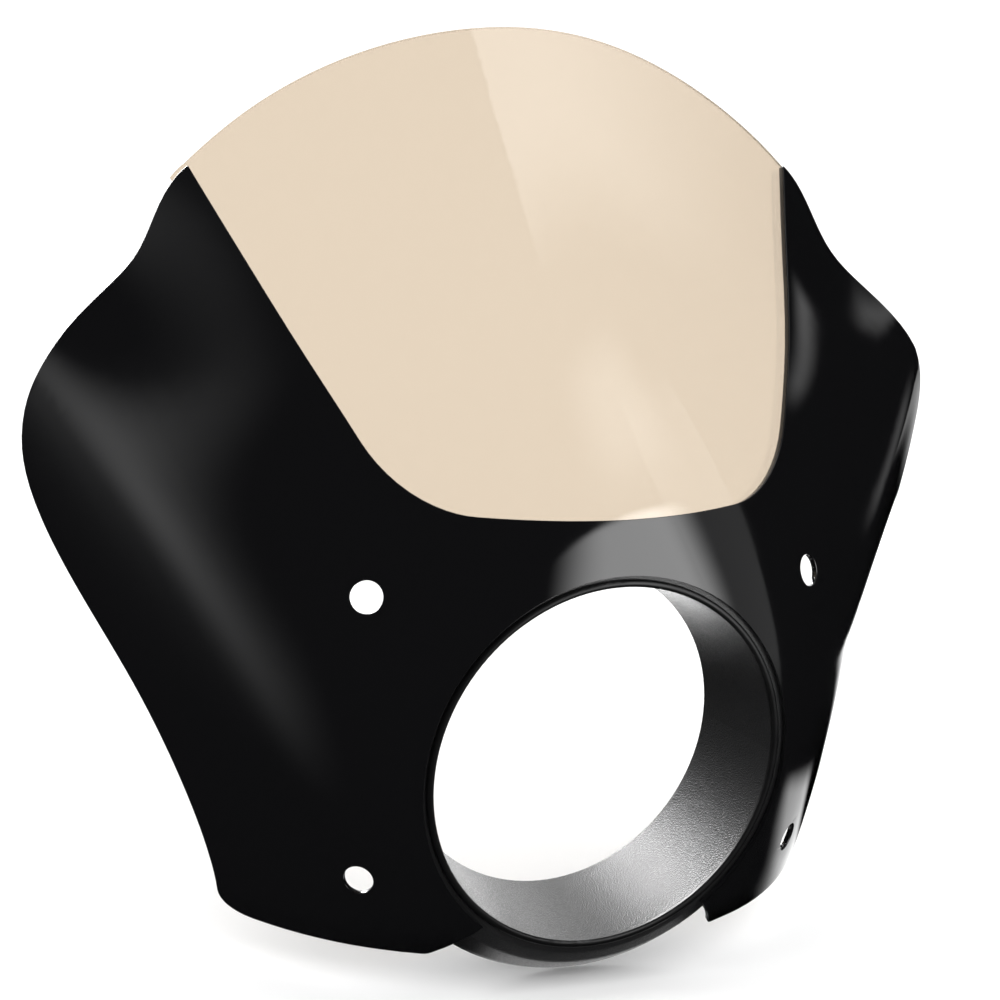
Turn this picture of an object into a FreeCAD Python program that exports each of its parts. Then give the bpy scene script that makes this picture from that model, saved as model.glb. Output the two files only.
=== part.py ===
import FreeCAD, Part
import math
import os

os.makedirs("parts", exist_ok=True)

# Sheet thicknesses and bond line
SHELL_T = 3.0
SCREEN_T = 3.0
TUBE_T = 2.6
BOND_T = 0.15

# Headlight mouth: opening in the shell, bead inside it, tapered tube and flange behind it
OPENING_R = 90.0
MOUTH_Y = -3.5
MOUTH_BLEND = 45.0
TRIM_GAP = 2.6
TRIM_W = 3.4
TRIM_H = 2.4
TRIM_SIDE = 1.1
TUBE_STEP = 0.4
TUBE_TAPER = 6.7
TUBE_LENGTH = 53.0
LAND_W = 7.0
LAND_SLOPE = 0.6
FLANGE_W = 7.5
FLANGE_BACK = 15.0
SKIRT_W = 2.0
SKIRT_BACK = 5.0
FLANGE_BEND_R = 4.0

# Radii that follow from the opening
TRIM_R = OPENING_R - TRIM_GAP - TRIM_W
TUBE_FRONT_R = TRIM_R + TUBE_STEP
TUBE_REAR_R = TUBE_FRONT_R - TUBE_TAPER
LAND_R = OPENING_R + LAND_W
FLANGE_R = LAND_R + FLANGE_W
SKIRT_R = FLANGE_R + SKIRT_W

# Fall of the outer face behind the mouth, as slopes and bends
FACE_Y = -32.6
RAKE_DEG = 44.2
KNEE_Z = 117.7
KNEE_SOFT = 82.3
SIDE_SLOPE = 0.607
NOSE_SOFT = 63.4
WING_SLOPE = 0.813
WING_SOFT = 17.0
WING_X = 137.0
WING_LEAN = 0.425
WING_BOW = 0.00143
CHIN_SLOPE = 1.3
CHIN_Z = -79.5
CHIN_SOFT = 13.0
CHEEK_FULL = 16.0
CHEEK_AT = (84.0, 21.4)
CHEEK_SPREAD = 42.4
JOWL_FULL = 4.5
JOWL_AT = (133.0, -97.0)
JOWL_SPREAD = 13.0
NOTCH_ROLL = 13.5
NOTCH_AT = (190.0, 195.0)
NOTCH_SPREAD = 30.0

# Outline seen from the front
TOP_Z = 304.4
ARCH = (88.0, 283.6)
HORN_X = 154.0
HORN_Z = 239.3
SHOULDER = [(168.0, 221.5), (179.7, 200.0), (190.0, 189.2), (213.0, 169.5), (229.0, 147.5)]
WING_TIP = (233.3, 121.0)
WING_SIDE = [(222.5, 80.5), (190.0, 19.0), (169.5, -25.0)]
CORNER_SIDE = (152.3, -75.5)
CORNER_MID = (147.4, -83.8)
CORNER_BASE = (138.3, -87.7)
BASE_Z = -92.0
GAP_HALF_DEG = 38.0
TIP_R = 4.0

# Window cut out of the shell, open at the top
WINDOW_FOOT = (92.7, 113.0)
WINDOW_WAIST = (125.2, 175.3)
WINDOW_WAIST_R = 600.0
WINDOW_CORNER_R = 48.0
SCREEN_LAP = 9.0

# Mounting holes through the shell, as distance out and height
UPPER_HOLE = (110.5, 76.9)
UPPER_HOLE_D = 14.5
LOWER_HOLE = (109.0, -51.2)
LOWER_HOLE_D = 13.5

# Fan of lines that the outer face is drawn through, and reach of the cutting blocks
FAN_STEP_DEG = 4.0
FAN_MARGIN_DEG = 6.0
RING_COUNT = 26
RING_GROWTH = 1.2
RING_INSET = 6.0
RING_OUTSET = 28.0
MOUTH_TRIM = 3.0
CUT_FRONT = 80.0
CUT_LENGTH = 700.0
HOLE_REACH = 13.0


def soft_ramp(u, width):
    return (u + math.sqrt(u * u + width * width)) / 2.0


def swell(x, z, place, spread):
    """Round swelling of height one at a place of the front view."""
    away = math.hypot(x - place[0], z - place[1])
    return math.exp(-0.5 * (away / spread) ** 2)


def body_y(x, z):
    """Depth of the swept face, before it is levelled round the mouth."""
    x = abs(x)
    rake = math.tan(math.radians(RAKE_DEG)) * soft_ramp(z - KNEE_Z, KNEE_SOFT)
    side = SIDE_SLOPE * (math.hypot(x, NOSE_SOFT) - NOSE_SOFT)
    bend_x = WING_X + WING_LEAN * z + WING_BOW * z * z
    wing = WING_SLOPE * soft_ramp(x - bend_x, WING_SOFT)
    chin = CHIN_SLOPE * soft_ramp(CHIN_Z - z, CHIN_SOFT)
    cheek = CHEEK_FULL * swell(x, z, CHEEK_AT, CHEEK_SPREAD)
    jowl = JOWL_FULL * swell(x, z, JOWL_AT, JOWL_SPREAD)
    notch = NOTCH_ROLL * swell(x, z, NOTCH_AT, NOTCH_SPREAD)
    return FACE_Y + rake + side + wing + chin + notch - cheek - jowl


def face_y(x, z):
    """Depth of the outer face at a point of the front view, with the mouth's edge in one plane."""
    reach = math.hypot(x, z)
    to_edge = OPENING_R / reach
    level = MOUTH_Y - body_y(x * to_edge, z * to_edge)
    return body_y(x, z) + level * math.exp(-((reach - OPENING_R) / MOUTH_BLEND) ** 2)


def face_normal(x, z):
    """Unit normal of the outer face, pointing to the back."""
    d = 0.05
    slope_x = (face_y(x + d, z) - face_y(x - d, z)) / (2.0 * d)
    slope_z = (face_y(x, z + d) - face_y(x, z - d)) / (2.0 * d)
    normal = FreeCAD.Vector(-slope_x, 1.0, -slope_z)
    normal.normalize()
    return normal


def flat(x, z):
    return FreeCAD.Vector(x, 0.0, z)


def rounded(points, radii):
    """Closed wire through corner points, each rounded by its radius."""
    starts = []
    ends = []
    arcs = []
    count = len(points)
    for i in range(count):
        corner = points[i]
        before = points[i - 1] - corner
        after = points[(i + 1) % count] - corner
        before.normalize()
        after.normalize()
        if radii[i] <= 0.0:
            starts.append(corner)
            ends.append(corner)
            arcs.append(None)
            continue
        half = before.getAngle(after) / 2.0
        reach = radii[i] / math.tan(half)
        middle = before + after
        middle.normalize()
        starts.append(corner + before * reach)
        ends.append(corner + after * reach)
        arcs.append(corner + middle * (radii[i] / math.sin(half) - radii[i]))
    edges = []
    for i in range(count):
        if arcs[i] is not None:
            edges.append(Part.Arc(starts[i], arcs[i], ends[i]).toShape())
        follow = (i + 1) % count
        if ends[i].distanceToPoint(starts[follow]) > 1e-6:
            edges.append(Part.makeLine(ends[i], starts[follow]))
    return Part.Wire(Part.__sortEdges__(edges))


def curve(points):
    spline = Part.BSplineCurve()
    spline.interpolate([flat(x, z) for x, z in points])
    return spline.toShape()


def tip_points():
    """Rounded end beside the gap below the mouth: start, middle and end of its arc."""
    lean = math.radians(GAP_HALF_DEG)
    corner = flat(-BASE_Z * math.tan(lean), BASE_Z)
    along = flat(*CORNER_BASE) - corner
    inward = corner * -1.0
    along.normalize()
    inward.normalize()
    half = along.getAngle(inward) / 2.0
    reach = TIP_R / math.tan(half)
    middle = along + inward
    middle.normalize()
    return corner + along * reach, corner + middle * (TIP_R / math.sin(half) - TIP_R), corner + inward * reach


def outline_face():
    """Front view of the whole fairing, wedge below the mouth left open."""
    side = [(HORN_X, HORN_Z)] + SHOULDER + [WING_TIP] + WING_SIDE + [CORNER_SIDE]
    tip_a, tip_b, tip_c = tip_points()
    right = [curve(side),
             Part.Arc(flat(*CORNER_SIDE), flat(*CORNER_MID), flat(*CORNER_BASE)).toShape(),
             Part.makeLine(flat(*CORNER_BASE), tip_a),
             Part.Arc(tip_a, tip_b, tip_c).toShape(),
             Part.makeLine(tip_c, flat(0.0, 0.0))]
    left = [edge.mirror(flat(0.0, 0.0), FreeCAD.Vector(1.0, 0.0, 0.0)) for edge in right]
    rise = [(HORN_X, HORN_Z), ARCH]
    arch = curve([(-x, z) for x, z in rise] + [(0.0, TOP_Z)] + rise[::-1])
    return Part.Face(Part.Wire(Part.__sortEdges__([arch] + right + left)))


def window_face():
    """Window cut-out seen from the front, running out past the arch."""
    foot = flat(*WINDOW_FOOT)
    waist = flat(*WINDOW_WAIST)
    head = waist + (flat(HORN_X, HORN_Z) - waist) * 2.2
    right = [foot, waist, head]
    left = [flat(-point.x, point.z) for point in reversed(right)]
    radii = [WINDOW_CORNER_R, WINDOW_WAIST_R, 0.0, 0.0, WINDOW_WAIST_R, WINDOW_CORNER_R]
    return Part.Face(rounded(right + left, radii))


def prism(face):
    """Straight block behind a front-view face, long enough for the whole part."""
    block = face.copy()
    block.translate(FreeCAD.Vector(0.0, -CUT_FRONT, 0.0))
    return block.extrude(FreeCAD.Vector(0.0, CUT_LENGTH, 0.0))


def ring_radii():
    """Radii of the face's rings, closer together at the mouth and wider apart outwards."""
    corners = [(0.0, TOP_Z), (HORN_X, HORN_Z), WING_TIP, CORNER_SIDE] + SHOULDER
    reach = max(math.hypot(x, z) for x, z in corners) + RING_OUTSET
    inner = OPENING_R - RING_INSET
    return [inner + (reach - inner) * (k / RING_COUNT) ** RING_GROWTH for k in range(RING_COUNT + 1)]


def front_surface():
    """Outer face drawn as a fan of rings round the tube axis, open at the wedge below."""
    start = -90.0 + GAP_HALF_DEG - FAN_MARGIN_DEG
    sweep = 360.0 - 2.0 * (GAP_HALF_DEG - FAN_MARGIN_DEG)
    steps = int(round(sweep / FAN_STEP_DEG))
    grid = []
    for radius in ring_radii():
        row = []
        for i in range(steps + 1):
            angle = math.radians(start + sweep * i / steps)
            x = radius * math.cos(angle)
            z = radius * math.sin(angle)
            row.append(FreeCAD.Vector(x, face_y(x, z), z))
        grid.append(row)
    surface = Part.BSplineSurface()
    surface.interpolate(grid)
    return surface.toShape().Faces[0]


def back_sign(face):
    u0, u1, v0, v1 = face.ParameterRange
    return 1.0 if face.normalAt((u0 + u1) / 2.0, (v0 + v1) / 2.0).y > 0.0 else -1.0


def thick_sheet(sheet, thickness):
    """Solid between a trimmed face and the parallel face behind it."""
    return sheet.makeOffsetShape(back_sign(sheet) * thickness, 1e-3, fill=True)


def hole_tool(place, diameter, side):
    x = side * place[0]
    z = place[1]
    normal = face_normal(x, z)
    start = FreeCAD.Vector(x, face_y(x, z), z) - normal * HOLE_REACH
    return Part.makeCylinder(diameter / 2.0, 2.0 * HOLE_REACH, start, normal)


def disc(radius):
    circle = Part.makeCircle(radius, flat(0.0, 0.0), FreeCAD.Vector(0.0, 1.0, 0.0))
    return Part.Face(Part.Wire(circle))


def fairing_shell(surface):
    """Gloss shell with its window, headlight opening and four holes."""
    region = outline_face().cut(window_face()).cut(disc(OPENING_R - MOUTH_TRIM))
    sheet = surface.common(prism(region.Faces[0])).Faces[0]
    shell = thick_sheet(sheet, SHELL_T).cut(prism(disc(OPENING_R)))
    for side in (-1.0, 1.0):
        shell = shell.cut(hole_tool(UPPER_HOLE, UPPER_HOLE_D, side))
        shell = shell.cut(hole_tool(LOWER_HOLE, LOWER_HOLE_D, side))
    return shell.Solids[0]


def windscreen(surface):
    """Clear screen bonded behind the window, its arch level with the shell's horns."""
    region = outline_face().common(window_face().makeOffset2D(SCREEN_LAP))
    behind = surface.makeOffsetShape(back_sign(surface) * SHELL_T, 1e-3).Faces[0]
    sheet = behind.common(prism(region.Faces[0])).Faces[0]
    return thick_sheet(sheet, SCREEN_T)


def turned(wire):
    return Part.Face(wire).revolve(FreeCAD.Vector(0.0, 0.0, 0.0), FreeCAD.Vector(0.0, 1.0, 0.0), 360.0)


def profile(r, y):
    """Point of a turned section, set back from the shell by the bond line."""
    return FreeCAD.Vector(r, y + BOND_T, 0.0)


def set_back(before, corner, after, depth):
    """Corner of a section moved squarely behind both of its sides."""
    bends = [math.atan2(b.y - a.y, b.x - a.x) for a, b in ((before, corner), (corner, after))]
    middle = (bends[0] + bends[1]) / 2.0
    reach = depth / math.cos((bends[1] - bends[0]) / 2.0)
    return corner + FreeCAD.Vector(-math.sin(middle), math.cos(middle), 0.0) * reach


def headlight_tube():
    """Tapered tube whose flange falls back behind the shell's mouth."""
    end = FLANGE_BACK + SKIRT_BACK
    front = [profile(TUBE_FRONT_R, 0.0),
             profile(OPENING_R, 0.0),
             profile(LAND_R, LAND_W * LAND_SLOPE),
             profile(FLANGE_R, FLANGE_BACK),
             profile(SKIRT_R, end)]
    back = [set_back(front[i - 1], front[i], front[i + 1], TUBE_T) for i in (3, 2, 1)]
    rear = [profile(TUBE_FRONT_R + TUBE_T, TUBE_T),
            profile(TUBE_REAR_R + TUBE_T, TUBE_LENGTH),
            profile(TUBE_REAR_R, TUBE_LENGTH)]
    outer = [FLANGE_BEND_R] * len(back)
    inner = [FLANGE_BEND_R - TUBE_T] * len(back)
    radii = [0.0] + outer + [0.0, 0.0] + inner + [0.0, 0.0, 0.0]
    return turned(rounded(front + [profile(SKIRT_R - TUBE_T, end)] + back + rear, radii))


def headlight_trim():
    """Round-nosed rubber bead bonded to the front of the tube."""
    foot_in = profile(TRIM_R, 0.0)
    foot_out = profile(TRIM_R + TRIM_W, 0.0)
    side_in = profile(TRIM_R, -TRIM_SIDE)
    side_out = profile(TRIM_R + TRIM_W, -TRIM_SIDE)
    nose = Part.Arc(side_out, profile(TRIM_R + TRIM_W / 2.0, -TRIM_H), side_in)
    return turned(Part.Wire([Part.makeLine(foot_in, foot_out),
                             Part.makeLine(foot_out, side_out),
                             nose.toShape(),
                             Part.makeLine(side_in, foot_in)]))


outer_surface = front_surface()
pieces = {"fairing_shell": fairing_shell(outer_surface),
          "windscreen": windscreen(outer_surface),
          "headlight_tube": headlight_tube(),
          "headlight_trim": headlight_trim()}
for name, shape in pieces.items():
    shape.exportStep("parts/" + name + ".step")
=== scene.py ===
import math

import bpy
from bpy.props import FloatProperty, FloatVectorProperty, PointerProperty
from mathutils import Matrix, Vector


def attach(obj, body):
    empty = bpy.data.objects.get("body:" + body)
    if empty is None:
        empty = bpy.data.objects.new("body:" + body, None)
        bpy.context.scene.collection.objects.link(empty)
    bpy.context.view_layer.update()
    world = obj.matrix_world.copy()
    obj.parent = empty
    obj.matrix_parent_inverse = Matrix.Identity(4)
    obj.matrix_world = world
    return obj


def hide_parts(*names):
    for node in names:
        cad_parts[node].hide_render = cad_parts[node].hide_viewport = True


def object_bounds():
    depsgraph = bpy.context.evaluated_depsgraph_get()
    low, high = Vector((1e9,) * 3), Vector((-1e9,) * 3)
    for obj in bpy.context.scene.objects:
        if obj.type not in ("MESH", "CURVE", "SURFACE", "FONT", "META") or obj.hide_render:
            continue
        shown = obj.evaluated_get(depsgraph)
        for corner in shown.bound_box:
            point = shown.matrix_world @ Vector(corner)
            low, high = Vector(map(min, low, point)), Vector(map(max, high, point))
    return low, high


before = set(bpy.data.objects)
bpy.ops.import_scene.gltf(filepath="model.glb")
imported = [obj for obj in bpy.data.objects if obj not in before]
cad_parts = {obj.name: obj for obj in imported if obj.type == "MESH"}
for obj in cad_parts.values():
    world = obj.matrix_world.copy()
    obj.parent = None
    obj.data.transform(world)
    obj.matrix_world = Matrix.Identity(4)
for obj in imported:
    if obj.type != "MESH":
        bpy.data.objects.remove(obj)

bl_info = {
    "name": "Cafe Racer Fairing",
    "version": (1, 0, 0),
    "blender": (4, 5, 0),
    "location": "View3D > Sidebar > Fairing",
    "description": "Gives a headlight fairing its finishes and sets it on a studio stage",
    "category": "Object",
}

CAD_BOX = [list(corner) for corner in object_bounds()]
LOWEST_Z = CAD_BOX[0][2]
MM_PER_METRE = 1000.0

# Swept face of the shell, in mm: lengths, slopes, and swellings as height, place and spread
FACE_START = -32.6
RAKE_DEG, RAKE_Z, RAKE_SOFT = 44.2, 117.7, 82.3
SIDE_SLOPE, NOSE_SOFT = 0.607, 63.4
WING_SLOPE, WING_SOFT = 0.813, 17.0
WING_X, WING_LEAN, WING_BEND = 137.0, 0.425, 0.00143
CHIN_SLOPE, CHIN_Z, CHIN_SOFT = 1.3, -79.5, 13.0
CHEEK = (16.0, (84.0, 21.4), 42.4)
JOWL = (4.5, (133.0, -97.0), 13.0)
NOTCH = (13.5, (190.0, 195.0), 30.0)
MOUTH_R = 90.0
MOUTH_DEPTH = -3.5
LEVEL_REACH = 45.0
SLOPE_STEP = 0.05
# Mesh corners this near the face (mm) and turned this much like it (cosine) take its normal.
FACE_REACH = 0.3
FACE_LIKENESS = 0.8

# Joined copy of the shell, in metres: edges nearer the mouth's axis than ROUND_FROM stay sharp.
MERGE_REACH = 0.00012
ROUND_FROM = 0.097
SHEET_GAP = 0.00005
EDGE_SEGMENTS = 3
SHARP_DEG = 38.0

# Refraction of the materials, and sizes of their patterns in metres
ABS_IOR, POLYCARBONATE_IOR, RUBBER_IOR = 1.54, 1.585, 1.52
HAZE_SIZE = 0.02
WAVE_DEPTH = 0.0004
WIPE_SIZE = 0.06
TOOTH_SIZE = 0.0006
TOOTH_DEPTH = 0.00004
BLOOM_SIZE = 0.012
CLOUD_SIZE = 0.8

STUDIO_WHITE = 1.6
SENSOR_MM = 36.0
# Blender spreads an area light's power over four times its area.
AREA_LIGHT_POWER = 4.0
FLOOR_CARD_Z = LOWEST_Z - 0.0003
# Side that a card stands on: azimuth, elevation and roll in degrees
LEFT, FRONT, RIGHT, BACK = [(azimuth, 0.0, 0.0) for azimuth in (-54.0, 25.0, 125.0, 180.0)]
RIGHT_TILTED = (125.0, 0.0, 45.0)
ABOVE = (17.0, 90.0, 0.0)
BELOW = (0.0, -90.0, 0.0)
# Studio cards: name, place, side, size, radiance, and the share of the card that fades at each
# of its two sides and two ends
CARDS = [
    ("left strip", (-0.396, -0.04, 0.2), LEFT, (0.23, 0.8), 0.75, (0.5, 0.5, 0.45, 0.45)),
    ("left wide strip", (-0.452, 0.038, 0.25), LEFT, (0.32, 0.95), 0.28, (0.5, 0.5, 0.5, 0.5)),
    ("front card", (0.128, -0.17, 0.12), FRONT, (0.33, 0.23), 4.1, (0.34, 0.34, 0.06, 0.06)),
    ("front glow card", (0.19, -0.141, 0.4), FRONT, (0.36, 0.36), 0.9, (0.45, 0.45, 0.4, 0.4)),
    ("front wide card", (0.3, -0.09, 0.2), FRONT, (0.2, 0.5), 0.3, (0.03, 0.03, 0.2, 0.2)),
    ("top card", (1.23, 0.333, 1.28), ABOVE, (2.3, 0.95), 1.2, (0.015, 0.9, 0.25, 0.25)),
    ("right streak", (0.352, 0.116, 0.234), RIGHT, (0.145, 0.034), 0.5, (0.3, 0.15, 0.5, 0.5)),
    ("right band", (0.346, 0.125, 0.105), RIGHT_TILTED, (0.13, 0.05), 0.25, (0.3, 0.3, 0.5, 0.5)),
    ("right floor card", (0.22, 0.08, FLOOR_CARD_Z), BELOW, (0.2, 0.12), 1.2,
     (0.3, 0.3, 0.3, 0.3)),
    ("flange floor card", (0.015, 0.05, FLOOR_CARD_Z), BELOW, (0.13, 0.1), 0.8,
     (0.15, 0.15, 0.15, 0.15)),
    ("rear floor card", (0.34, 0.55, FLOOR_CARD_Z), BELOW, (0.56, 0.7), 4.5,
     (0.1, 0.1, 0.1, 0.1)),
    ("right rear floor card", (1.4, 1.25, FLOOR_CARD_Z), BELOW, (1.6, 1.3), 0.45,
     (0.1, 0.1, 0.2, 0.2)),
    ("back left card", (-0.55, 2.5, 1.35), BACK, (1.8, 1.5), 32.0, (0.08, 0.08, 0.15, 0.15)),
    ("back right card", (1.55, 2.5, 1.05), BACK, (2.5, 2.3), 2.6, (0.05, 0.05, 0.05, 0.05)),
]


def srgb(code):
    """Linear colour of an sRGB hex code."""
    channels = [int(code[i:i + 2], 16) / 255.0 for i in (1, 3, 5)]
    return tuple(c / 12.92 if c <= 0.04045 else ((c + 0.055) / 1.055) ** 2.4 for c in channels)


def add_node(tree, kind, values=None, links=None, **settings):
    """Adds a node, sets its options and socket values, and links sources to its sockets."""
    node = tree.nodes.new(kind)
    for name, value in settings.items():
        setattr(node, name, value)
    for socket, value in (values or {}).items():
        node.inputs[socket].default_value = value
    for socket, source in (links or {}).items():
        tree.links.new(source, node.inputs[socket])
    return node


def new_material(name):
    material = bpy.data.materials.new(name)
    material.use_nodes = True
    material.node_tree.nodes.clear()
    return material


def per_metre(length):
    """Texture scale whose pattern repeats about once in a length."""
    return 1.0 / length


def finish_surface(tree, shader):
    add_node(tree, "ShaderNodeOutputMaterial", links={"Surface": shader.outputs[0]})


def cad_node(node_name):
    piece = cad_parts.get(node_name)
    if piece is None:
        raise RuntimeError("the frame has no node " + node_name)
    return piece


def dress(node_name, material):
    """Puts a material on a CAD node's slot."""
    cad_node(node_name).material_slots[0].material = material


def rounded_copy(node_name, name, edge, material):
    """Copy of a CAD node with joined triangles and rounded sharp edges, standing for the node."""
    source = cad_node(node_name)
    piece = bpy.data.objects.new(name, source.data.copy())
    bpy.context.scene.collection.objects.link(piece)
    bpy.ops.object.select_all(action="DESELECT")
    piece.select_set(True)
    bpy.context.view_layer.objects.active = piece
    bpy.ops.mesh.customdata_custom_splitnormals_clear()
    bpy.ops.object.mode_set(mode="EDIT")
    bpy.ops.mesh.select_all(action="SELECT")
    bpy.ops.mesh.remove_doubles(threshold=MERGE_REACH)
    bpy.ops.mesh.select_all(action="DESELECT")
    bpy.ops.mesh.select_mode(type="EDGE")
    bpy.ops.mesh.edges_select_sharp(sharpness=math.radians(SHARP_DEG))
    bpy.ops.object.mode_set(mode="OBJECT")
    # The rim of the mouth stays sharp, because rounding its thin triangles makes spikes.
    weights = piece.data.attributes.new("bevel_weight_edge", "FLOAT", "EDGE")
    for line in piece.data.edges:
        ends = [piece.data.vertices[end].co for end in line.vertices]
        if line.select and min(math.hypot(end.x, end.z) for end in ends) > ROUND_FROM:
            weights.data[line.index].value = 1.0
    bevel = piece.modifiers.new("rounded edges", "BEVEL")
    bevel.width = edge
    bevel.segments = EDGE_SEGMENTS
    bevel.limit_method = "WEIGHT"
    bevel.use_clamp_overlap = False
    bpy.ops.object.modifier_apply(modifier=bevel.name)
    # The sheet is drawn in a little, so its back and the screen's face don't lie in one place.
    gap = piece.modifiers.new("gap to the screen", "DISPLACE")
    gap.strength = -SHEET_GAP
    gap.mid_level = 0.0
    bpy.ops.object.modifier_apply(modifier=gap.name)
    bpy.ops.object.shade_smooth_by_angle(angle=math.radians(SHARP_DEG))
    piece.data.materials.clear()
    piece.data.materials.append(material)
    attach(piece, "root")
    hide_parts(node_name)
    return piece


class FairingShellSettings(bpy.types.PropertyGroup):
    colour: FloatVectorProperty(
        name="Colour", description="Colour of the moulded sheet", subtype="COLOR",
        size=3, min=0.0, max=1.0, default=srgb("#0B0B0C"))
    gloss_low: FloatProperty(
        name="Smoothest", description="Roughness where the face is best polished",
        subtype="FACTOR", min=0.0, max=1.0, default=0.05)
    gloss_high: FloatProperty(
        name="Dullest", description="Roughness where the face is a little hazy",
        subtype="FACTOR", min=0.0, max=1.0, default=0.09)
    back_roughness: FloatProperty(
        name="Back", description="Roughness of the satin back of the sheet",
        subtype="FACTOR", min=0.0, max=1.0, default=0.38)
    ripple: FloatProperty(
        name="Ripple", description="Length of the slow waves left by the mould",
        unit="LENGTH", min=0.001, default=0.045)
    edge: FloatProperty(
        name="Edge", description="Radius of the rounded cut edges",
        unit="LENGTH", min=0.0, default=0.0006)


class WindscreenSettings(bpy.types.PropertyGroup):
    tint: FloatVectorProperty(
        name="Tint", description="Colour that white light takes in the sheet", subtype="COLOR",
        size=3, min=0.0, max=1.0, default=srgb("#C8B9A6"))
    roughness: FloatProperty(
        name="Roughness", description="Roughness of the polished sheet",
        subtype="FACTOR", min=0.0, max=1.0, default=0.02)


class HeadlightTubeSettings(bpy.types.PropertyGroup):
    colour: FloatVectorProperty(
        name="Colour", description="Colour of the grained moulding", subtype="COLOR",
        size=3, min=0.0, max=1.0, default=srgb("#1A1A1B"))
    roughness: FloatProperty(
        name="Roughness", description="Roughness on top of the cells",
        subtype="FACTOR", min=0.0, max=1.0, default=0.3)
    grain: FloatProperty(
        name="Grain", description="Width of one cell of the leather grain",
        unit="LENGTH", min=0.0001, default=0.0011)
    grain_depth: FloatProperty(
        name="Grain depth", description="Depth of the lines between the cells",
        unit="LENGTH", min=0.0, default=0.00009)


class HeadlightTrimSettings(bpy.types.PropertyGroup):
    colour: FloatVectorProperty(
        name="Colour", description="Colour of the rubber bead", subtype="COLOR",
        size=3, min=0.0, max=1.0, default=srgb("#0B0B0C"))
    roughness: FloatProperty(
        name="Roughness", description="Roughness of the rubber skin",
        subtype="FACTOR", min=0.0, max=1.0, default=0.34)


class StudioStageSettings(bpy.types.PropertyGroup):
    floor_colour: FloatVectorProperty(
        name="Floor", description="Colour of the floor", subtype="COLOR",
        size=3, min=0.0, max=1.0, default=srgb("#F4F4F4"))
    floor_size: FloatProperty(
        name="Floor size", description="Side of the square floor",
        unit="LENGTH", min=1.0, default=16.0)
    floor_drop: FloatProperty(
        name="Floor drop", description="Space between the fairing and the floor",
        unit="LENGTH", min=0.0, default=0.0005)
    lens: FloatProperty(
        name="Lens", description="Focal length on a 36 mm frame, in mm", min=1.0, default=114.12)
    azimuth: FloatProperty(
        name="Azimuth", description="Turn of the camera round the fairing",
        subtype="ANGLE", default=math.radians(-25.937))
    elevation: FloatProperty(
        name="Elevation", description="Height of the camera as an angle",
        subtype="ANGLE", default=math.radians(16.111))
    roll: FloatProperty(
        name="Roll", description="Tilt of the camera about its own axis",
        subtype="ANGLE", default=math.radians(4.933))
    camera_place: FloatVectorProperty(
        name="Camera", description="Place of the camera", subtype="XYZ", unit="LENGTH",
        size=3, default=(-0.6316, -1.1678, 0.5017))


def gloss_black_sheet(settings):
    """Moulded ABS sheet: deep black with mirror gloss, slow mould waves and a satin back."""
    material = new_material("gloss black ABS sheet")
    tree = material.node_tree
    place = add_node(tree, "ShaderNodeTexCoord")
    # Slow waves bend the reflections a little, as on a sheet formed over a mould.
    waves = add_node(tree, "ShaderNodeTexNoise",
                     {"Scale": per_metre(settings.ripple), "Detail": 1.0},
                     {"Vector": place.outputs["Object"]})
    haze = add_node(tree, "ShaderNodeTexNoise",
                    {"Scale": per_metre(HAZE_SIZE), "Detail": 4.0, "Roughness": 0.6},
                    {"Vector": place.outputs["Object"]})
    polish = add_node(tree, "ShaderNodeMapRange",
                      {"From Min": 0.35, "From Max": 0.7,
                       "To Min": settings.gloss_low, "To Max": settings.gloss_high},
                      {"Value": haze.outputs["Fac"]})
    # The back of the sheet faces +Y and is dull.
    outward = add_node(tree, "ShaderNodeSeparateXYZ", links={"Vector": place.outputs["Normal"]})
    behind = add_node(tree, "ShaderNodeMapRange", {"From Min": 0.05, "From Max": 0.2},
                      {"Value": outward.outputs["Y"]}, interpolation_type="SMOOTHSTEP")
    dull = add_node(tree, "ShaderNodeMix", {"B": settings.back_roughness},
                    {"Factor": behind.outputs["Result"], "A": polish.outputs["Result"]})
    skin = add_node(tree, "ShaderNodeBump", {"Strength": 0.12, "Distance": WAVE_DEPTH},
                    {"Height": waves.outputs["Fac"]})
    shader = add_node(tree, "ShaderNodeBsdfPrincipled",
                      {"Base Color": (*settings.colour, 1.0), "IOR": ABS_IOR},
                      {"Roughness": dull.outputs["Result"], "Normal": skin.outputs["Normal"]})
    finish_surface(tree, shader)
    return material


def amber_clear_sheet(settings):
    """Clear polycarbonate sheet with a pale amber tint and a polished face."""
    material = new_material("pale amber polycarbonate sheet")
    tree = material.node_tree
    place = add_node(tree, "ShaderNodeTexCoord")
    wipe = add_node(tree, "ShaderNodeTexNoise", {"Scale": per_metre(WIPE_SIZE), "Detail": 3.0},
                    {"Vector": place.outputs["Object"]})
    polish = add_node(tree, "ShaderNodeMapRange",
                      {"From Min": 0.3, "From Max": 0.7, "To Min": 0.5 * settings.roughness,
                       "To Max": 1.5 * settings.roughness}, {"Value": wipe.outputs["Fac"]})
    shader = add_node(tree, "ShaderNodeBsdfPrincipled",
                      {"Base Color": (*settings.tint, 1.0), "IOR": POLYCARBONATE_IOR,
                       "Transmission Weight": 1.0},
                      {"Roughness": polish.outputs["Result"]})
    finish_surface(tree, shader)
    return material


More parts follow.
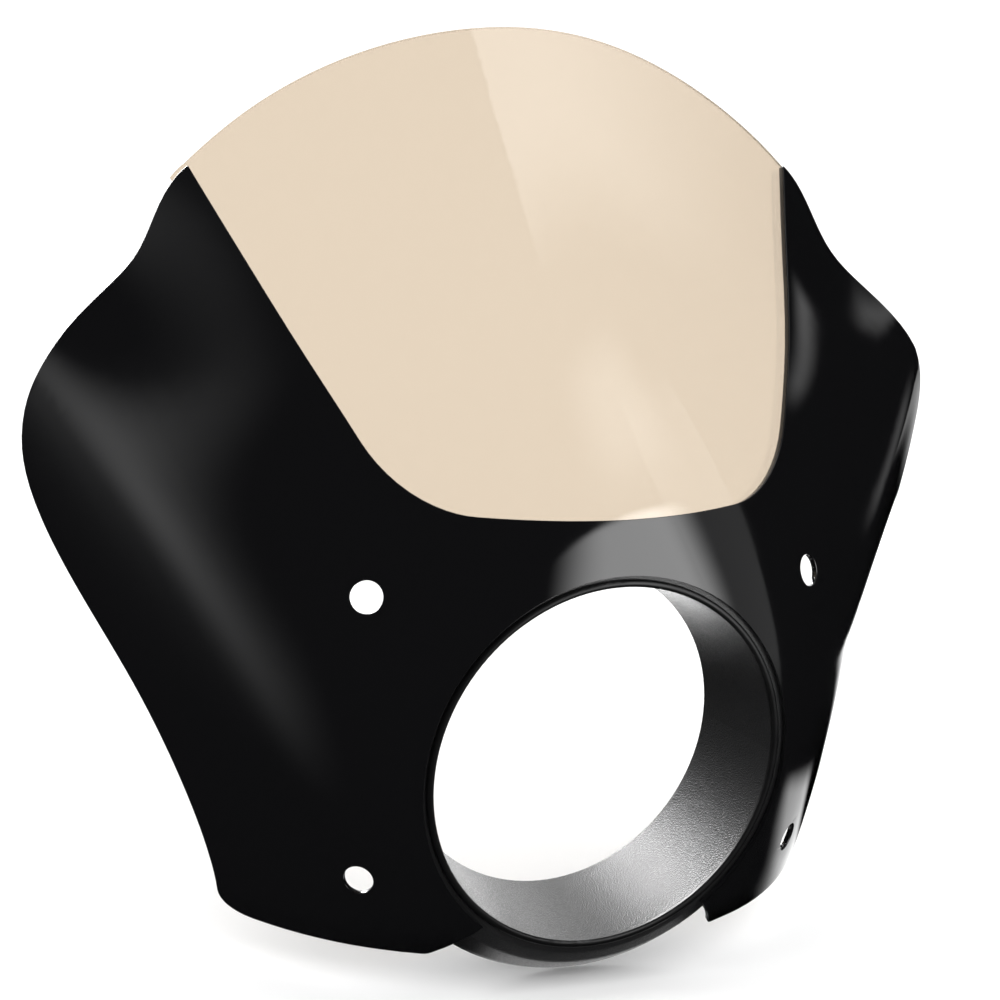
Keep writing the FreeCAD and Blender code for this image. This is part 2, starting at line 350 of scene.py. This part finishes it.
def grained_black_moulding(settings):
    """Moulded ABS with a fine leather grain: small raised cells between thin low lines."""
    material = new_material("haircell grained black ABS")
    tree = material.node_tree
    place = add_node(tree, "ShaderNodeTexCoord")
    wander = add_node(tree, "ShaderNodeTexNoise",
                      {"Scale": per_metre(2.0 * settings.grain), "Detail": 2.0},
                      {"Vector": place.outputs["Object"]})
    shift = add_node(tree, "ShaderNodeVectorMath", {"Scale": 0.6 * settings.grain},
                     {0: wander.outputs["Color"]}, operation="SCALE")
    bent = add_node(tree, "ShaderNodeVectorMath",
                    links={0: place.outputs["Object"], 1: shift.outputs["Vector"]},
                    operation="ADD")
    cells = add_node(tree, "ShaderNodeTexVoronoi", {"Scale": per_metre(settings.grain)},
                     {"Vector": bent.outputs["Vector"]}, feature="DISTANCE_TO_EDGE")
    height = add_node(tree, "ShaderNodeMapRange", {"From Min": 0.0, "From Max": 0.3},
                      {"Value": cells.outputs["Distance"]}, interpolation_type="SMOOTHSTEP")
    grain = add_node(tree, "ShaderNodeBump", {"Strength": 0.6, "Distance": settings.grain_depth},
                     {"Height": height.outputs["Result"]})
    polish = add_node(tree, "ShaderNodeMapRange",
                      {"To Min": settings.roughness + 0.15, "To Max": settings.roughness},
                      {"Value": height.outputs["Result"]})
    shader = add_node(tree, "ShaderNodeBsdfPrincipled",
                      {"Base Color": (*settings.colour, 1.0), "IOR": ABS_IOR},
                      {"Roughness": polish.outputs["Result"], "Normal": grain.outputs["Normal"]})
    finish_surface(tree, shader)
    return material


def smooth_black_rubber(settings):
    """Smooth black rubber: soft sheen with a very fine tooth."""
    material = new_material("smooth black rubber")
    tree = material.node_tree
    place = add_node(tree, "ShaderNodeTexCoord")
    tooth = add_node(tree, "ShaderNodeTexNoise", {"Scale": per_metre(TOOTH_SIZE), "Detail": 2.0},
                     {"Vector": place.outputs["Object"]})
    bloom = add_node(tree, "ShaderNodeTexNoise", {"Scale": per_metre(BLOOM_SIZE), "Detail": 3.0},
                     {"Vector": place.outputs["Object"]})
    polish = add_node(tree, "ShaderNodeMapRange",
                      {"From Min": 0.3, "From Max": 0.7, "To Min": settings.roughness,
                       "To Max": settings.roughness + 0.12}, {"Value": bloom.outputs["Fac"]})
    skin = add_node(tree, "ShaderNodeBump", {"Strength": 0.15, "Distance": TOOTH_DEPTH},
                    {"Height": tooth.outputs["Fac"]})
    shader = add_node(tree, "ShaderNodeBsdfPrincipled",
                      {"Base Color": (*settings.colour, 1.0), "IOR": RUBBER_IOR,
                       "Specular IOR Level": 0.25},
                      {"Roughness": polish.outputs["Result"], "Normal": skin.outputs["Normal"]})
    finish_surface(tree, shader)
    return material


def matt_white_floor(settings):
    """Painted floor: matt white with a slight unevenness."""
    material = new_material("matt white floor paint")
    tree = material.node_tree
    place = add_node(tree, "ShaderNodeTexCoord")
    cloud = add_node(tree, "ShaderNodeTexNoise", {"Scale": per_metre(CLOUD_SIZE)},
                     {"Vector": place.outputs["Object"]})
    polish = add_node(tree, "ShaderNodeMapRange", {"To Min": 0.5, "To Max": 0.6},
                      {"Value": cloud.outputs["Fac"]})
    shader = add_node(tree, "ShaderNodeBsdfPrincipled",
                      {"Base Color": (*settings.floor_colour, 1.0), "Specular IOR Level": 0.0},
                      {"Roughness": polish.outputs["Result"]})
    finish_surface(tree, shader)
    return material


def soft_ramp(u, width):
    """Ramp that is level below zero and rises above it, with a rounded bend."""
    return (u + math.sqrt(u * u + width * width)) / 2.0


def swell(x, z, height, place, spread):
    """Round swelling at a place of the front view."""
    return height * math.exp(-0.5 * (math.hypot(x - place[0], z - place[1]) / spread) ** 2)


def body_y(x, z):
    """Depth of the swept face in mm, before it is levelled round the mouth."""
    x = abs(x)
    rake = math.tan(math.radians(RAKE_DEG)) * soft_ramp(z - RAKE_Z, RAKE_SOFT)
    side = SIDE_SLOPE * (math.hypot(x, NOSE_SOFT) - NOSE_SOFT)
    wing_line = WING_X + WING_LEAN * z + WING_BEND * z * z
    wing = WING_SLOPE * soft_ramp(x - wing_line, WING_SOFT)
    chin = CHIN_SLOPE * soft_ramp(CHIN_Z - z, CHIN_SOFT)
    swept = FACE_START + rake + side + wing + chin
    return swept + swell(x, z, *NOTCH) - swell(x, z, *CHEEK) - swell(x, z, *JOWL)


def face_y(x, z):
    """Depth of the outer face in mm at a point of the front view, level round the mouth."""
    reach = math.hypot(x, z)
    to_edge = MOUTH_R / reach
    level = MOUTH_DEPTH - body_y(x * to_edge, z * to_edge)
    return body_y(x, z) + level * math.exp(-((reach - MOUTH_R) / LEVEL_REACH) ** 2)


def face_normal(x, z):
    """Unit normal of the outer face, pointing to the front."""
    span = 2.0 * SLOPE_STEP
    slope_x = (face_y(x + SLOPE_STEP, z) - face_y(x - SLOPE_STEP, z)) / span
    slope_z = (face_y(x, z + SLOPE_STEP) - face_y(x, z - SLOPE_STEP)) / span
    return Vector((slope_x, -1.0, slope_z)).normalized()


def shade_as_swept_face(piece):
    """Gives the outer face the normals of its swept face, so its gloss runs smoothly."""
    mesh = piece.data
    exact = {}
    for vertex in mesh.vertices:
        x, y, z = vertex.co * MM_PER_METRE
        if abs(y - face_y(x, z)) < FACE_REACH:
            exact[vertex.index] = face_normal(x, z)
    normals = [corner.vector.copy() for corner in mesh.corner_normals]
    for polygon in mesh.polygons:
        for loop in polygon.loop_indices:
            normal = exact.get(mesh.loops[loop].vertex_index)
            if normal is not None and normal.dot(polygon.normal) > FACE_LIKENESS:
                normals[loop] = normal
    mesh.normals_split_custom_set(normals)


class FAIRING_OT_shell(bpy.types.Operator):
    """Puts a gloss black copy with rounded edges in the shell's place"""
    bl_idname = "fairing.shell"
    bl_label = "Fairing Shell"

    def execute(self, context):
        settings = context.scene.fairing_shell
        finish = gloss_black_sheet(settings)
        sheet = rounded_copy("fairing_shell", "shell_sheet", settings.edge, finish)
        shade_as_swept_face(sheet)
        return {"FINISHED"}


class FAIRING_OT_windscreen(bpy.types.Operator):
    """Gives the windscreen its clear amber finish"""
    bl_idname = "fairing.windscreen"
    bl_label = "Windscreen"

    def execute(self, context):
        dress("windscreen", amber_clear_sheet(context.scene.fairing_windscreen))
        return {"FINISHED"}


class FAIRING_OT_headlight_tube(bpy.types.Operator):
    """Gives the headlight tube its leather grain"""
    bl_idname = "fairing.headlight_tube"
    bl_label = "Headlight Tube"

    def execute(self, context):
        dress("headlight_tube", grained_black_moulding(context.scene.fairing_tube))
        return {"FINISHED"}


class FAIRING_OT_headlight_trim(bpy.types.Operator):
    """Gives the bead round the mouth its rubber finish"""
    bl_idname = "fairing.headlight_trim"
    bl_label = "Headlight Trim"

    def execute(self, context):
        dress("headlight_trim", smooth_black_rubber(context.scene.fairing_trim))
        return {"FINISHED"}


def facing(azimuth, elevation, roll):
    """Turn of a camera or light that looks in from an azimuth and elevation, with a roll."""
    tilt = Matrix.Rotation(math.pi / 2.0 - elevation, 4, "X")
    return Matrix.Rotation(azimuth, 4, "Z") @ tilt @ Matrix.Rotation(roll, 4, "Z")


def softbox(name, place, side, size, radiance, soft):
    """Studio card with soft edges that shows only in the gloss of the fairing."""
    light = bpy.data.lights.new(name, "AREA")
    light.shape = "RECTANGLE"
    light.size = size[0]
    light.size_y = size[1]
    light.energy = radiance * AREA_LIGHT_POWER * size[0] * size[1]
    light.use_nodes = True
    tree = light.node_tree
    tree.nodes.clear()
    spot = add_node(tree, "ShaderNodeNewGeometry")
    split = add_node(tree, "ShaderNodeSeparateXYZ", links={"Vector": spot.outputs["Parametric"]})
    # Each edge fades in over its own share of the card, and the four fades are multiplied.
    fades = []
    for axis, start, share in zip("XXYY", (0.0, 1.0, 0.0, 1.0), soft):
        fade = add_node(tree, "ShaderNodeMapRange",
                        {"From Min": start, "From Max": abs(start - share)},
                        {"Value": split.outputs[axis]}, interpolation_type="SMOOTHSTEP")
        fades.append(fade.outputs["Result"])
    strength = fades[0]
    for fade in fades[1:]:
        product = add_node(tree, "ShaderNodeMath", links={0: strength, 1: fade},
                           operation="MULTIPLY")
        strength = product.outputs["Value"]
    glow = add_node(tree, "ShaderNodeEmission", links={"Strength": strength})
    add_node(tree, "ShaderNodeOutputLight", links={"Surface": glow.outputs["Emission"]})
    box = bpy.data.objects.new(name, light)
    turn = facing(*[math.radians(angle) for angle in side])
    box.matrix_world = Matrix.Translation(place) @ turn
    box.visible_camera = False
    box.visible_transmission = False
    box.visible_diffuse = False
    bpy.context.scene.collection.objects.link(box)


class FAIRING_OT_stage(bpy.types.Operator):
    """Sets up the floor, the studio light and the camera"""
    bl_idname = "fairing.stage"
    bl_label = "Studio Stage"

    def execute(self, context):
        settings = context.scene.fairing_stage
        bpy.ops.object.select_all(action="DESELECT")
        bpy.ops.mesh.primitive_plane_add(size=settings.floor_size,
                                         location=(0.0, 0.0, LOWEST_Z - settings.floor_drop))
        floor = context.active_object
        floor.name = "studio_floor"
        floor.data.materials.append(matt_white_floor(settings))
        floor.visible_glossy = False

        world = bpy.data.worlds.new("white studio")
        world.use_nodes = True
        background = world.node_tree.nodes["Background"]
        background.inputs["Color"].default_value = (1.0, 1.0, 1.0, 1.0)
        background.inputs["Strength"].default_value = STUDIO_WHITE
        context.scene.world = world
        world.cycles_visibility.glossy = False
        context.scene.view_settings.view_transform = "Standard"

        for card in CARDS:
            softbox(*card)

        camera = bpy.data.cameras.new("photo camera")
        camera.lens = settings.lens
        camera.sensor_width = SENSOR_MM
        viewer = bpy.data.objects.new("photo_camera", camera)
        turn = facing(settings.azimuth, settings.elevation, settings.roll)
        viewer.matrix_world = Matrix.Translation(Vector(settings.camera_place)) @ turn
        context.scene.collection.objects.link(viewer)
        context.scene.camera = viewer
        return {"FINISHED"}


class FAIRING_PT_panel(bpy.types.Panel):
    bl_label = "Fairing"
    bl_idname = "FAIRING_PT_panel"
    bl_space_type = "VIEW_3D"
    bl_region_type = "UI"
    bl_category = "Fairing"

    def draw(self, context):
        for operator in OPERATORS:
            self.layout.operator(operator.bl_idname)


SETTINGS = {
    "fairing_shell": FairingShellSettings,
    "fairing_windscreen": WindscreenSettings,
    "fairing_tube": HeadlightTubeSettings,
    "fairing_trim": HeadlightTrimSettings,
    "fairing_stage": StudioStageSettings,
}
OPERATORS = [FAIRING_OT_shell, FAIRING_OT_windscreen, FAIRING_OT_headlight_tube,
             FAIRING_OT_headlight_trim, FAIRING_OT_stage]


def register():
    for group in SETTINGS.values():
        bpy.utils.register_class(group)
    for name, group in SETTINGS.items():
        setattr(bpy.types.Scene, name, PointerProperty(type=group))
    for operator in OPERATORS:
        bpy.utils.register_class(operator)
    bpy.utils.register_class(FAIRING_PT_panel)


def unregister():
    bpy.utils.unregister_class(FAIRING_PT_panel)
    for operator in reversed(OPERATORS):
        bpy.utils.unregister_class(operator)
    for name in SETTINGS:
        delattr(bpy.types.Scene, name)
    for group in reversed(list(SETTINGS.values())):
        bpy.utils.unregister_class(group)


def main():
    register()
    bpy.ops.fairing.shell()
    bpy.ops.fairing.windscreen()
    bpy.ops.fairing.headlight_tube()
    bpy.ops.fairing.headlight_trim()
    bpy.ops.fairing.stage()


if __name__ == "__main__":
    main()
